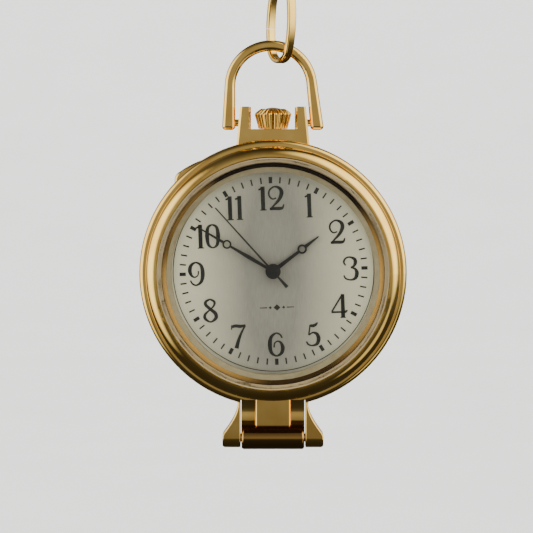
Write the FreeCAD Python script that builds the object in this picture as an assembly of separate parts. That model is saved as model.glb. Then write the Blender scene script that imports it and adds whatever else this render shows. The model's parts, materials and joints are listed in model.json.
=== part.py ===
import FreeCAD, Part
import math
import os

from FreeCAD import Vector

os.makedirs("parts", exist_ok=True)

# A gold-plated quartz fob watch that hangs from a link, with a reading lens that folds out behind it.
# Everything is laid out from the centre of the case: +X to the right of the dial, +Y from the dial
# to the back, +Z to twelve o'clock.  save() moves each part so that the frame's origin is the inside
# top of the suspension link, where the watch hangs.  Lengths are in millimetres, angles in degrees.

# Case, from front (negative Y) to back
CASE_R = 19.0
CASE_FRONT_Y = -3.5
CASE_BACK_Y = 3.0
CASE_BORE_R = 16.2
BEZEL_R = 18.05
BEZEL_BORE_R = 16.44
BEZEL_TOP_Y = -5.0
SPIGOT_R = 17.0
SPIGOT_END_Y = -2.25
LEDGE_R = 15.78
LEDGE_Y = -3.9
CRYSTAL_TOP_Y = -5.2
CRYSTAL_BACK_Y = -4.0
CRYSTAL_R = 16.28
CRYSTAL_FLAT_R = 16.1
REHAUT_R = 15.14
REHAUT_END_Y = -3.66
DIAL_RING_R = 14.42
BACK_SEAT_R = 17.3
BACK_SEAT_Y = 2.2
BACK_OUTER_Y = 3.2

# Dial and movement: they sit a little above the middle of the case
MOVEMENT_Z = 0.3
DIAL_R = 15.8
DIAL_FRONT_Y = -2.0
DIAL_BACK_Y = -1.6
DIAL_HOLE_R = 1.05
MOVEMENT_R = 11.65
MOVEMENT_BACK_Y = 1.9
PLATE_FRONT_Y = -0.75
PLATE_BACK_Y = -0.1
BRIDGE_FRONT_Y = 1.25
BRIDGE_BACK_Y = 1.5

# Pendant, crown and stem; they share the plane of the watch's centre of mass, so it hangs upright
STEM_Y = 0.7
PENDANT_HALF_DEPTH = 2.1
PENDANT_BASE_X = 5.3
PENDANT_TOP_X = 4.68
PENDANT_BASE_Z = 17.4
PENDANT_TOP_Z = 23.7
PRONG_GAP_X = 3.15
WEB_TOP_Z = 20.5
CROWN_BASE_R = 2.07
CROWN_TOP_R = 2.64
CROWN_SHOULDER_Z = 22.6
CROWN_TOP_Z = 23.6
CROWN_RIBS = 20
CROWN_RIB_BASE_R = 0.2
CROWN_RIB_TOP_R = 0.25
CROWN_RIB_END_R = 1.65
STEM_R = 0.45
TUBE_R = 1.25
GROOVE_Z = 10.1
LEVER_THROW = 1.0

# Bow
BOW_TOP_Z = 33.17
BOW_OUTER_R = 6.6
BOW_INNER_R = 5.1
BOW_LEAN = 0.3
BOW_CENTRE_Z = BOW_TOP_Z - BOW_OUTER_R
BOW_FOOT_OUTER_X = 7.3
BOW_FOOT_INNER_X = 5.4
BOW_FOOT_Z = 20.4
BOW_HALF_DEPTH = 0.85
BOW_EDGE_R = 0.52
BOW_PIN_Z = 21.4
BOW_PIN_R = 0.5

# Suspension link: a flat strip bent to an oval, turned about the vertical and leaning a little
LINK_X = 0.95
LINK_BOTTOM_Z = 30.6
LINK_LENGTH = 10.0
LINK_HALF_WIDTH = 2.2
LINK_END_R = 1.85
LINK_THICKNESS = 0.7
LINK_STRIP = 1.3
LINK_TURN = -55.0
LINK_LEAN = 4.0

# Bottom hinge and reading lens
HINGE_Y = 2.6
HINGE_Z = -24.1
HINGE_PIN_R = 0.6
BARREL_R = 1.7
BARREL_HALF = 4.54
LEAF_HALF = 4.57
HORN_R = 1.42
HORN_TOP_Z = -17.85
HORN_INNER_X = 4.68
HORN_OUTER_X = 7.3
SLOT_Z = -17.95
FRAME_R = 18.3
FRAME_FRONT_Y = 3.6
FRAME_BACK_Y = 6.5
LENS_R = 15.55
LENS_SEAT_R = 15.65
LENS_LIP_R = 14.8
LENS_FRONT_Y = 3.5
LENS_BACK_Y = 6.4
LENS_EDGE_FRONT_Y = 4.2
LENS_EDGE_BACK_Y = 5.55
RIB_HALF = 2.6
RIB_Y = 2.36
TAB_TOP_ANGLE = 90.0 + 23.5
TAB_SPAN = 25.3
TAB_OUTLINE = ((18.25, 0.0), (19.2, 10.5), (19.72, 19.5), (19.55, 23.2), (18.25, TAB_SPAN))

# Hands: directions clockwise from twelve o'clock
HOUR_ANGLE = 52.6
MINUTE_ANGLE = 300.4
SECONDS_ANGLE = 317.8
HAND_THICKNESS = 0.15
HOUR_HAND_Y = -2.42
MINUTE_HAND_Y = -2.72
SECONDS_HAND_Y = -3.05
HOUR_RING_Z = 5.2
MINUTE_RING_Z = 7.6

# Wheel train: tooth counts, modules and where the axes stand
SECONDS_PINION_TEETH = 8
THIRD_WHEEL_TEETH = 60
THIRD_PINION_TEETH = 8
CENTRE_WHEEL_TEETH = 64
SECONDS_WHEEL_TEETH = 40
INTERMEDIATE_PINION_TEETH = 8
INTERMEDIATE_WHEEL_TEETH = 48
ROTOR_PINION_TEETH = 8
CANNON_TEETH = 12
MINUTE_WHEEL_TEETH = 36
MINUTE_PINION_TEETH = 10
HOUR_WHEEL_TEETH = 40
SETTING_WHEEL_TEETH = 20
AXIS_DISTANCE = 2.88
THIRD_DIRECTION = 160.0
INTERMEDIATE_DIRECTION = -20.0
ROTOR_DIRECTION = -10.0
ROTOR_MODULE = 0.085
WORKS_MODULE = 0.1
MINUTE_DIRECTION = 75.0
SETTING_DIRECTION = 90.0
ARBOR_R = 0.12
BATTERY_X = -5.4
BATTERY_Z = -5.6
BATTERY_R = 3.4
COIL_X = 8.4
COIL_Y = 0.7
COIL_LOW_Z = -4.6
COIL_HIGH_Z = 2.6
QUARTZ_X = -8.1
QUARTZ_R = 0.65
STATOR_FRONT_Y = 0.2
STATOR_BACK_Y = 0.4
STATOR_ELBOW_X = 6.0

SIDES = (-1, 1)
UP_Y = Vector(0, 1, 0)
UP_Z = Vector(0, 0, 1)
RIGHT = Vector(1, 0, 0)


def link_place(shape):
    """Turns and leans a shape made at the link's upright, square-on position."""
    shape.rotate(Vector(0, 0, LINK_BOTTOM_Z), UP_Y, LINK_LEAN)
    shape.rotate(Vector(0, 0, 0), UP_Z, LINK_TURN)
    shape.translate(Vector(LINK_X, STEM_Y, 0))
    return shape


def hanging_point():
    """The inside top of the suspension link."""
    point = Part.Vertex(0, 0, LINK_BOTTOM_Z + LINK_LENGTH)
    return link_place(point).Point


ORIGIN = hanging_point()


def save(name, shape):
    """Writes one sub-part, moved so that the frame's origin is the hanging point."""
    shape = shape.copy()
    shape.translate(ORIGIN.negative())
    shape.exportStep(f"parts/{name}.step")


# Drawing helpers


def face(to_vector, start, *steps):
    """A closed flat face. A step is a point to draw a line to, or (middle, end) for an arc."""
    edges = []
    here = start
    for step in steps + (start,):
        if isinstance(step[0], tuple):
            middle, there = step
            edges.append(Part.Arc(to_vector(*here), to_vector(*middle), to_vector(*there)).toShape())
        else:
            there = step
            if there != here:
                edges.append(Part.makeLine(to_vector(*here), to_vector(*there)))
        here = there
    return Part.Face(Part.Wire(edges))


def in_section(r, y):
    return Vector(r, y, 0)


def in_front(x, z):
    return Vector(x, 0, z)


def in_side(y, z):
    return Vector(0, y, z)


def turned(start, *steps):
    """A solid of revolution about the case's axis, from its section in (radius, y)."""
    return face(in_section, start, *steps).revolve(Vector(0, 0, 0), UP_Y, 360)


def cut_from_plate(flat, y0, y1):
    """A face drawn in the plane of the dial, made into a plate from y0 to y1."""
    flat.translate(Vector(0, y0, 0))
    return flat.extrude(Vector(0, y1 - y0, 0))


def disc(r, y0, y1, x=0.0, z=0.0):
    return Part.makeCylinder(r, y1 - y0, Vector(x, y0, z), UP_Y)


def ring(r_in, r_out, y0, y1, x=0.0, z=0.0):
    return disc(r_out, y0, y1, x, z).cut(disc(r_in, y0 - 1, y1 + 1, x, z))


def upright(r, z0, z1, x=0.0, y=STEM_Y):
    """A cylinder along Z."""
    return Part.makeCylinder(r, z1 - z0, Vector(x, y, z0), UP_Z)


def across(r, x0, x1, y, z):
    """A cylinder along X."""
    return Part.makeCylinder(r, x1 - x0, Vector(x0, y, z), RIGHT)


def box(x0, x1, y0, y1, z0, z1):
    return Part.makeBox(x1 - x0, y1 - y0, z1 - z0, Vector(x0, y0, z0))


def fuse(first, *others):
    return first.multiFuse(list(others)).removeSplitter()


def solid(shape):
    """The one solid of a boolean's result."""
    return shape.Solids[0] if len(shape.Solids) == 1 else shape


def round_edges(shape, radius, wanted):
    """Rounds the edges whose middle point satisfies wanted(point)."""
    picked = [e for e in shape.Edges if wanted(e.valueAt((e.FirstParameter + e.LastParameter) / 2))]
    return shape.makeFillet(radius, picked)


def polar(distance, degrees):
    """A point (x, z) at an angle measured from +X towards +Z."""
    return distance * math.cos(math.radians(degrees)), distance * math.sin(math.radians(degrees))


def sag_at(r, rim_r, rim_sag):
    """How far a spherical face has fallen at radius r, when it falls rim_sag at its rim."""
    sphere_r = (rim_r ** 2 + rim_sag ** 2) / (2 * rim_sag)
    return sphere_r - math.sqrt(sphere_r ** 2 - r ** 2)


def mirrored(shape):
    return shape.mirror(Vector(0, 0, 0), RIGHT)


# Gears


def gear(teeth, module, y0, y1, centre=(0.0, 0.0), tooth_at=0.0):
    """A toothed disc with straight flanks. tooth_at is the direction of one tooth, in degrees."""
    pitch_r = module * teeth / 2
    tip_r = pitch_r + 0.85 * module
    root_r = pitch_r - 1.15 * module
    pitch = 360.0 / teeth
    corners = []
    for i in range(teeth):
        middle = tooth_at + i * pitch
        for radius, share in ((root_r, -0.28), (tip_r, -0.11), (tip_r, 0.11), (root_r, 0.28)):
            x, z = polar(radius, middle + share * pitch)
            corners.append(Vector(centre[0] + x, y0, centre[1] + z))
    outline = Part.makePolygon(corners + corners[:1])
    return Part.Face(outline).extrude(Vector(0, y1 - y0, 0))


def gap_towards(degrees, teeth):
    """The direction of a tooth that puts a gap between teeth at the given direction."""
    return degrees + 180.0 / teeth


# Case


def make_case_middle():
    body = turned(
        (SPIGOT_R + 0.02, CASE_FRONT_Y),
        (18.35, CASE_FRONT_Y),
        ((18.81, -3.31), (CASE_R, -2.85)),
        (CASE_R, 2.3),
        ((18.79, 2.8), (18.3, CASE_BACK_Y)),
        (BACK_SEAT_R, CASE_BACK_Y),
        (BACK_SEAT_R, BACK_SEAT_Y),
        (CASE_BORE_R, BACK_SEAT_Y),
        (CASE_BORE_R, SPIGOT_END_Y + 0.05),
        (SPIGOT_R + 0.02, SPIGOT_END_Y + 0.05),
    )
    slot = box(-HORN_INNER_X, HORN_INNER_X, -10, 10, -30, SLOT_Z)
    inside = disc(CASE_BORE_R + 1.2, -10, 10)
    pendant = make_pendant().cut(inside)
    body = fuse(body.cut(slot), pendant, make_horn(), mirrored(make_horn()))
    body = body.cut(upright(TUBE_R, 10, 30))
    for side in SIDES:
        body = body.cut(across(BOW_PIN_R + 0.03, min(side * 3.85, side * 8), max(side * 3.85, side * 8),
                               STEM_Y, BOW_PIN_Z))
    return body.cut(across(HINGE_PIN_R, -8, 8, HINGE_Y, HINGE_Z))


def make_pendant():
    """The block that carries the bow, with two prongs that guard the crown."""
    flat = face(
        in_front,
        (-PENDANT_BASE_X - 0.1, PENDANT_BASE_Z - 1.5),
        (PENDANT_BASE_X + 0.1, PENDANT_BASE_Z - 1.5),
        (PENDANT_BASE_X, PENDANT_BASE_Z),
        (PENDANT_TOP_X, PENDANT_TOP_Z),
        (PRONG_GAP_X, PENDANT_TOP_Z),
        (PRONG_GAP_X, WEB_TOP_Z),
        (-PRONG_GAP_X, WEB_TOP_Z),
        (-PRONG_GAP_X, PENDANT_TOP_Z),
        (-PENDANT_TOP_X, PENDANT_TOP_Z),
        (-PENDANT_BASE_X, PENDANT_BASE_Z),
    )
    front_y = STEM_Y - PENDANT_HALF_DEPTH
    back_y = STEM_Y + PENDANT_HALF_DEPTH
    block = cut_from_plate(flat, front_y, back_y)

    def on_prong_side(point):
        on_face = min(abs(point.y - front_y), abs(point.y - back_y)) < 0.01
        on_side = abs(point.x) > PRONG_GAP_X - 0.01 and PENDANT_BASE_Z < point.z < PENDANT_TOP_Z - 0.01
        return on_face and on_side

    picked = [e for e in block.Edges if on_prong_side(e.valueAt((e.FirstParameter + e.LastParameter) / 2))]
    return block.makeChamfer(0.28, picked)


def make_horn():
    """The right-hand horn of the bottom hinge: waisted below the case, then flared to its knuckle."""
    flare = Part.BSplineCurve()
    flare.interpolate([
        Vector(5.32, 0, HORN_TOP_Z),
        Vector(5.12, 0, -19.4),
        Vector(5.95, 0, -21.6),
        Vector(HORN_OUTER_X - 0.2, 0, HINGE_Z + 0.8),
    ])
    knuckle_top = in_front(HORN_OUTER_X - 0.2, HINGE_Z + 0.8)
    knuckle_middle = in_front(HORN_OUTER_X - 0.03, HINGE_Z + 0.42)
    knuckle_low = in_front(HORN_OUTER_X, HINGE_Z)
    foot = HINGE_Z - HORN_R
    corner_top = in_front(HORN_OUTER_X, foot + 0.5)
    corner_middle = in_front(HORN_OUTER_X - 0.15, foot + 0.15)
    corner_end = in_front(HORN_OUTER_X - 0.5, foot)
    edges = [
        flare.toShape(),
        Part.Arc(knuckle_top, knuckle_middle, knuckle_low).toShape(),
        Part.makeLine(knuckle_low, corner_top),
        Part.Arc(corner_top, corner_middle, corner_end).toShape(),
        Part.makeLine(corner_end, in_front(HORN_INNER_X, foot)),
        Part.makeLine(in_front(HORN_INNER_X, foot), in_front(HORN_INNER_X, HORN_TOP_Z)),
        Part.makeLine(in_front(HORN_INNER_X, HORN_TOP_Z), in_front(5.32, HORN_TOP_Z)),
    ]
    plate = cut_from_plate(Part.Face(Part.Wire(edges)), HINGE_Y - 3, HINGE_Y + 3)
    round_end = face(
        in_side,
        (HINGE_Y - HORN_R, -17.0),
        (HINGE_Y - HORN_R, HINGE_Z),
        ((HINGE_Y, HINGE_Z - HORN_R), (HINGE_Y + HORN_R, HINGE_Z)),
        (HINGE_Y + HORN_R, -17.0),
    ).extrude(Vector(10, 0, 0))
    horn = plate.common(round_end)
    front_y = HINGE_Y - HORN_R
    return round_edges(
        horn, 0.18, lambda point: abs(point.y - front_y) < 0.01 and HINGE_Z + 0.3 < point.z < -18)


def make_bezel():
    return turned(
        (LEDGE_R, LEDGE_Y),
        (BEZEL_BORE_R, LEDGE_Y),
        (BEZEL_BORE_R, BEZEL_TOP_Y + 0.15),
        (BEZEL_BORE_R + 0.13, BEZEL_TOP_Y),
        ((17.49, -4.7), (BEZEL_R, -3.9)),
        (BEZEL_R, CASE_FRONT_Y),
        (SPIGOT_R, CASE_FRONT_Y),
        (SPIGOT_R, SPIGOT_END_Y),
        (LEDGE_R, SPIGOT_END_Y),
    )


def make_crystal():
    return turned(
        (0, CRYSTAL_TOP_Y),
        (CRYSTAL_FLAT_R, CRYSTAL_TOP_Y),
        (CRYSTAL_R, CRYSTAL_TOP_Y + 0.2),
        (CRYSTAL_R, CRYSTAL_BACK_Y),
        (0, CRYSTAL_BACK_Y),
    )


def make_crystal_gasket():
    return turned(
        (LEDGE_R + 0.05, CRYSTAL_BACK_Y),
        (CRYSTAL_R, CRYSTAL_BACK_Y),
        (CRYSTAL_R, -4.8),
        (BEZEL_BORE_R, -4.8),
        (BEZEL_BORE_R, LEDGE_Y),
        (LEDGE_R + 0.05, LEDGE_Y),
    )


def make_rehaut():
    return turned(
        (LEDGE_R - 0.05, LEDGE_Y),
        (REHAUT_R, REHAUT_END_Y),
        (REHAUT_R, DIAL_FRONT_Y),
        (LEDGE_R - 0.05, DIAL_FRONT_Y),
    )


def make_dial_ring():
    return turned(
        (DIAL_RING_R, DIAL_FRONT_Y),
        (DIAL_RING_R, REHAUT_END_Y + 0.42),
        (REHAUT_R - 0.02, REHAUT_END_Y + 0.02),
        (REHAUT_R - 0.02, DIAL_FRONT_Y),
    )


def make_case_back():
    rim_y = MOVEMENT_BACK_Y + 0.05
    flange_y = BACK_SEAT_Y + 0.2
    back = turned(
        (0, flange_y),
        (15.4, flange_y),
        (15.4, rim_y),
        (CASE_BORE_R - 0.05, rim_y),
        (CASE_BORE_R - 0.05, flange_y),
        (BACK_SEAT_R - 0.03, flange_y),
        (BACK_SEAT_R - 0.03, BACK_OUTER_Y - 0.3),
        (16.6, BACK_OUTER_Y),
        (0, BACK_OUTER_Y),
    )
    x, z = polar(BACK_SEAT_R, -60)
    opener = box(x - 1.4, x + 1.4, CASE_BACK_Y - 0.35, 5, z - 0.5, z + 0.5)
    return back.cut(opener)


# Dial, hands and movement


def at_movement(shape):
    shape.translate(Vector(0, 0, MOVEMENT_Z))
    return shape


def make_dial():
    plate = ring(DIAL_HOLE_R, DIAL_R, DIAL_FRONT_Y, DIAL_BACK_Y)
    feet = [disc(0.3, DIAL_BACK_Y, PLATE_FRONT_Y + 0.4, *polar(10.2, angle)) for angle in (25, 205)]
    return at_movement(fuse(plate, *feet))


def hand_blank(outline_points, hub_r, ring_z, ring_r, ring_hole_r, bore_r, y0):
    """A flat hand that points at twelve: a symmetric outline, a hub, and a ring part of the way out."""
    right = [Vector(x, y0, z) for x, z in outline_points]
    left = [Vector(-x, y0, z) for x, z in reversed(outline_points)]
    thickness = Vector(0, HAND_THICKNESS, 0)
    blade = Part.Face(Part.makePolygon(right + left + right[:1])).extrude(thickness)
    hand = fuse(blade, disc(hub_r, y0, y0 + HAND_THICKNESS))
    if ring_z:
        hand = fuse(hand, disc(ring_r, y0, y0 + HAND_THICKNESS, 0, ring_z))
        hand = hand.cut(disc(ring_hole_r, y0 - 1, y0 + 1, 0, ring_z))
    if bore_r:
        hand = hand.cut(disc(bore_r, y0 - 1, y0 + 1))
    return hand


def point_at(hand, degrees):
    hand.rotate(Vector(0, 0, 0), UP_Y, degrees)
    return at_movement(hand)


def make_hour_hand():
    blade = [(0.31, 0.3), (0.2, 4.7), (0.26, 5.85), (0.08, 8.1), (0.02, 8.2)]
    return point_at(hand_blank(blade, 1.08, HOUR_RING_Z, 0.68, 0.41, 0.95, HOUR_HAND_Y), HOUR_ANGLE)


def make_minute_hand():
    blade = [(0.18, 0.3), (0.28, 4.0), (0.15, 7.1), (0.2, 8.15), (0.1, 11.9), (0.03, 12.0)]
    return point_at(hand_blank(blade, 1.0, MINUTE_RING_Z, 0.65, 0.4, 0.55, MINUTE_HAND_Y), MINUTE_ANGLE)


def make_seconds_hand():
    blade = [(0.26, -3.0), (0.12, -1.0), (0.14, 1.0), (0.09, 12.2)]
    hand = hand_blank(blade, 1.08, None, None, None, None, SECONDS_HAND_Y)
    cap = disc(1.08, SECONDS_HAND_Y, SECONDS_HAND_Y + 0.2)
    hand = fuse(hand, cap).cut(disc(0.15, SECONDS_HAND_Y + 0.1, 0))
    return point_at(hand, SECONDS_ANGLE)


def make_seconds_wheel():
    arbor = disc(0.15, SECONDS_HAND_Y + 0.1, BRIDGE_BACK_Y)
    wheel = gear(SECONDS_WHEEL_TEETH, 2 * AXIS_DISTANCE / (SECONDS_WHEEL_TEETH + INTERMEDIATE_PINION_TEETH),
                 0.38, 0.58, tooth_at=INTERMEDIATE_DIRECTION)
    pinion = gear(SECONDS_PINION_TEETH, 2 * AXIS_DISTANCE / (SECONDS_PINION_TEETH + THIRD_WHEEL_TEETH),
                  0.6, 0.88, tooth_at=THIRD_DIRECTION)
    return at_movement(fuse(arbor, wheel, pinion))


def make_centre_wheel():
    wheel = gear(CENTRE_WHEEL_TEETH, 2 * AXIS_DISTANCE / (CENTRE_WHEEL_TEETH + THIRD_PINION_TEETH),
                 0.05, 0.25, tooth_at=THIRD_DIRECTION)
    pipe = disc(0.3, -2.0, 0.32)
    return at_movement(fuse(wheel, pipe).cut(disc(0.2, -5, 5)))


def make_cannon_pinion():
    teeth = gear(CANNON_TEETH, WORKS_MODULE, -1.15, -0.85, tooth_at=MINUTE_DIRECTION)
    pipe = disc(0.55, MINUTE_HAND_Y, -0.78)
    return at_movement(fuse(pipe, teeth).cut(disc(0.3, -5, 5)))


def make_hour_wheel():
    module = 2 * works_distance() / (HOUR_WHEEL_TEETH + MINUTE_PINION_TEETH)
    wheel = gear(HOUR_WHEEL_TEETH, module, -1.42, -1.22, tooth_at=MINUTE_DIRECTION)
    pipe = disc(0.95, HOUR_HAND_Y, -1.22)
    return at_movement(fuse(wheel, pipe).cut(disc(0.59, -5, 5)))


def works_distance():
    """From the centre to the minute wheel."""
    return WORKS_MODULE * (CANNON_TEETH + MINUTE_WHEEL_TEETH) / 2


def minute_axis():
    return polar(works_distance(), MINUTE_DIRECTION)


def setting_axis():
    step = polar(WORKS_MODULE * (MINUTE_WHEEL_TEETH + SETTING_WHEEL_TEETH) / 2, SETTING_DIRECTION)
    start = minute_axis()
    return start[0] + step[0], start[1] + step[1]


def intermediate_axis():
    return polar(AXIS_DISTANCE, INTERMEDIATE_DIRECTION)


def rotor_axis():
    step = polar(ROTOR_MODULE * (INTERMEDIATE_WHEEL_TEETH + ROTOR_PINION_TEETH) / 2, ROTOR_DIRECTION)
    start = intermediate_axis()
    return start[0] + step[0], start[1] + step[1]


def third_axis():
    return polar(AXIS_DISTANCE, THIRD_DIRECTION)


def make_third_wheel():
    facing = THIRD_DIRECTION + 180
    wheel = gear(THIRD_WHEEL_TEETH, 2 * AXIS_DISTANCE / (SECONDS_PINION_TEETH + THIRD_WHEEL_TEETH),
                 0.66, 0.82, third_axis(), gap_towards(facing, THIRD_WHEEL_TEETH))
    pinion = gear(THIRD_PINION_TEETH, 2 * AXIS_DISTANCE / (CENTRE_WHEEL_TEETH + THIRD_PINION_TEETH),
                  0.0, 0.3, third_axis(), gap_towards(facing, THIRD_PINION_TEETH))
    arbor = disc(ARBOR_R, PLATE_FRONT_Y + 0.1, BRIDGE_BACK_Y, *third_axis())
    return at_movement(fuse(arbor, wheel, pinion))


def make_intermediate_wheel():
    facing = INTERMEDIATE_DIRECTION + 180
    pinion = gear(INTERMEDIATE_PINION_TEETH,
                  2 * AXIS_DISTANCE / (SECONDS_WHEEL_TEETH + INTERMEDIATE_PINION_TEETH),
                  0.34, 0.62, intermediate_axis(), gap_towards(facing, INTERMEDIATE_PINION_TEETH))
    wheel = gear(INTERMEDIATE_WHEEL_TEETH, ROTOR_MODULE, 0.93, 1.08, intermediate_axis(), ROTOR_DIRECTION)
    arbor = disc(ARBOR_R, PLATE_FRONT_Y + 0.1, BRIDGE_BACK_Y, *intermediate_axis())
    return at_movement(fuse(arbor, wheel, pinion))


def make_rotor():
    magnet = disc(0.6, 0.1, 0.5, *rotor_axis())
    pinion = gear(ROTOR_PINION_TEETH, ROTOR_MODULE, 0.86, 1.15, rotor_axis(),
                  gap_towards(ROTOR_DIRECTION + 180, ROTOR_PINION_TEETH))
    arbor = disc(ARBOR_R, PLATE_FRONT_Y + 0.1, BRIDGE_BACK_Y, *rotor_axis())
    return at_movement(fuse(arbor, magnet, pinion))


def make_minute_wheel():
    facing = MINUTE_DIRECTION + 180
    wheel = gear(MINUTE_WHEEL_TEETH, WORKS_MODULE, -1.14, -0.9, minute_axis(),
                 gap_towards(facing, MINUTE_WHEEL_TEETH))
    module = 2 * works_distance() / (HOUR_WHEEL_TEETH + MINUTE_PINION_TEETH)
    pinion = gear(MINUTE_PINION_TEETH, module, -1.42, -1.14, minute_axis(),
                  gap_towards(facing, MINUTE_PINION_TEETH))
    return at_movement(fuse(wheel, pinion).cut(disc(0.24, -5, 5, *minute_axis())))


def make_setting_wheel():
    """Meshes with the minute wheel under the dial; its upper wheel waits for the sliding pinion."""
    minute_tooth = gap_towards(MINUTE_DIRECTION + 180, MINUTE_WHEEL_TEETH)
    pitch = 360.0 / MINUTE_WHEEL_TEETH
    turned_past = (SETTING_DIRECTION - minute_tooth) / pitch % 1
    lead = turned_past * 360.0 / SETTING_WHEEL_TEETH
    tooth_at = gap_towards(SETTING_DIRECTION + 180 + lead, SETTING_WHEEL_TEETH)
    lower = gear(SETTING_WHEEL_TEETH, WORKS_MODULE, -1.14, -0.9, setting_axis(), tooth_at)
    arbor = disc(0.2, -1.3, 0.5, *setting_axis())
    upper = gear(SETTING_WHEEL_TEETH, 0.085, 0.05, 0.25, setting_axis())
    return at_movement(fuse(arbor, lower, upper))


def arbor_places():
    return third_axis(), intermediate_axis(), rotor_axis()


PILLARS = ((-3.2, -2.2), (4.2, 2.6), (0.6, -3.35))


def make_main_plate():
    plate = disc(MOVEMENT_R, PLATE_FRONT_Y, PLATE_BACK_Y)
    pillars = [disc(0.5, PLATE_BACK_Y, BRIDGE_FRONT_Y, x, z) for x, z in PILLARS]
    minute_post = disc(0.2, -1.46, PLATE_FRONT_Y, *minute_axis())
    plate = fuse(plate, minute_post, *pillars)
    plate = plate.cut(disc(0.34, -5, 5))
    plate = plate.cut(disc(BATTERY_R + 0.1, -5, 5, BATTERY_X, BATTERY_Z))
    plate = plate.cut(disc(0.24, -5, 5, *setting_axis()))
    for place in arbor_places():
        plate = plate.cut(disc(ARBOR_R + 0.03, -5, 0, *place))
    for angle in (25, 205):
        plate = plate.cut(disc(0.3, -5, 0, *polar(10.2, angle)))
    for x, z in PILLARS:
        plate = plate.cut(disc(0.22, 0.4, 5, x, z))
    return at_movement(plate)


def make_train_bridge():
    flat = face(
        in_front,
        (-4.6, 1.9),
        (-4.6, -1.8),
        (-3.2, -2.8),
        (0.0, -4.0),
        (1.6, -4.0),
        (6.2, -2.8),
        (6.6, -0.6),
        (4.9, 3.3),
        (0.8, 2.9),
    )
    bridge = cut_from_plate(flat, BRIDGE_FRONT_Y, BRIDGE_BACK_Y)
    bridge = bridge.cut(disc(0.45, 0, 5))
    for place in arbor_places():
        bridge = bridge.cut(disc(0.4, 0, 5, *place))
    for x, z in PILLARS:
        bridge = bridge.cut(disc(0.3, 0, 5, x, z))
    return at_movement(bridge)


def make_bridge_bushes():
    bushes = [ring(ARBOR_R + 0.03, 0.4, BRIDGE_FRONT_Y, BRIDGE_BACK_Y, *place) for place in arbor_places()]
    bushes.append(ring(0.18, 0.45, BRIDGE_FRONT_Y, BRIDGE_BACK_Y))
    return at_movement(Part.makeCompound(bushes))


def make_bridge_screws():
    screws = []
    for x, z in PILLARS:
        shank = disc(0.22, 0.45, BRIDGE_BACK_Y, x, z)
        head = disc(0.5, BRIDGE_BACK_Y, BRIDGE_BACK_Y + 0.25, x, z)
        slot = box(x - 1, x + 1, BRIDGE_BACK_Y + 0.13, 3, z - 0.07, z + 0.07)
        screws.append(fuse(shank, head).cut(slot))
    return at_movement(Part.makeCompound(screws))


def bar(start, end, width, y0, y1):
    """A flat bar between two points of the dial's plane."""
    length = math.hypot(end[0] - start[0], end[1] - start[1])
    angle = math.degrees(math.atan2(end[1] - start[1], end[0] - start[0]))
    shape = box(0, length, y0, y1, -width / 2, width / 2)
    shape.rotate(Vector(0, 0, 0), UP_Y, -angle)
    shape.translate(Vector(start[0], 0, start[1]))
    return shape




def make_stator():
    yoke = disc(1.3, STATOR_FRONT_Y, STATOR_BACK_Y, *rotor_axis())
    for z in (COIL_LOW_Z - 0.8, COIL_HIGH_Z + 0.8):
        elbow = (STATOR_ELBOW_X, z)
        end = (COIL_X, z)
        yoke = fuse(
            yoke,
            bar(rotor_axis(), elbow, 1.2, STATOR_FRONT_Y, STATOR_BACK_Y),
            bar(elbow, end, 1.2, STATOR_FRONT_Y, STATOR_BACK_Y),
            disc(0.6, STATOR_FRONT_Y, STATOR_BACK_Y, *elbow),
            disc(0.7, STATOR_FRONT_Y, STATOR_BACK_Y, *end),
        )
    return at_movement(yoke.cut(disc(0.75, -5, 5, *rotor_axis())))


def make_coil_core():
    return at_movement(upright(0.3, COIL_LOW_Z - 1.1, COIL_HIGH_Z + 1.1, COIL_X, COIL_Y))


def make_coil_winding():
    winding = upright(0.75, COIL_LOW_Z, COIL_HIGH_Z, COIL_X, COIL_Y)
    return at_movement(winding.cut(upright(0.3, -20, 20, COIL_X, COIL_Y)))


def make_circuit_board():
    board = disc(11.3, BRIDGE_FRONT_Y, BRIDGE_BACK_Y)
    board = board.common(box(-12, -4.8, 0, 3, -1.6, 9.4))
    return at_movement(board)


def make_chip():
    return at_movement(box(-7.2, -5.4, 0.75, BRIDGE_FRONT_Y, 4.4, 6.2))


def make_quartz_can():
    can = upright(QUARTZ_R, 0.4, 5.2, QUARTZ_X, BRIDGE_FRONT_Y - QUARTZ_R)
    return at_movement(round_edges(can, 0.2, lambda point: point.z > 5.1))


def make_battery():
    cup = disc(BATTERY_R, -0.7, 1.55, BATTERY_X, BATTERY_Z)
    cap = disc(BATTERY_R - 0.45, 1.55, 1.85, BATTERY_X, BATTERY_Z)
    return at_movement(fuse(cup, cap))


CLAMP_SCREW = (-0.4, -7.6)


def make_battery_clamp():
    strip = bar((BATTERY_X - 1.4, BATTERY_Z), CLAMP_SCREW, 1.3, 1.87, 2.0)
    leg = disc(0.8, PLATE_BACK_Y, 2.0, *CLAMP_SCREW)
    return at_movement(fuse(strip, leg).cut(disc(0.24, 0.6, 5, *CLAMP_SCREW)))


def make_clamp_screw():
    shank = disc(0.22, 0.65, 2.0, *CLAMP_SCREW)
    head = disc(0.55, 2.0, 2.25, *CLAMP_SCREW)
    x, z = CLAMP_SCREW
    return at_movement(fuse(shank, head).cut(box(x - 1, x + 1, 2.12, 3, z - 0.07, z + 0.07)))


def make_movement_ring():
    holder = ring(MOVEMENT_R + 0.05, DIAL_R - 0.05, DIAL_BACK_Y, MOVEMENT_BACK_Y)
    holder = holder.cut(upright(STEM_R + 0.2, 5, 20))
    return at_movement(holder)


# Winding parts


def make_stem_tube():
    return upright(TUBE_R, CASE_BORE_R + 0.1, 21.9).cut(upright(STEM_R + 0.06, 10, 30))


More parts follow.
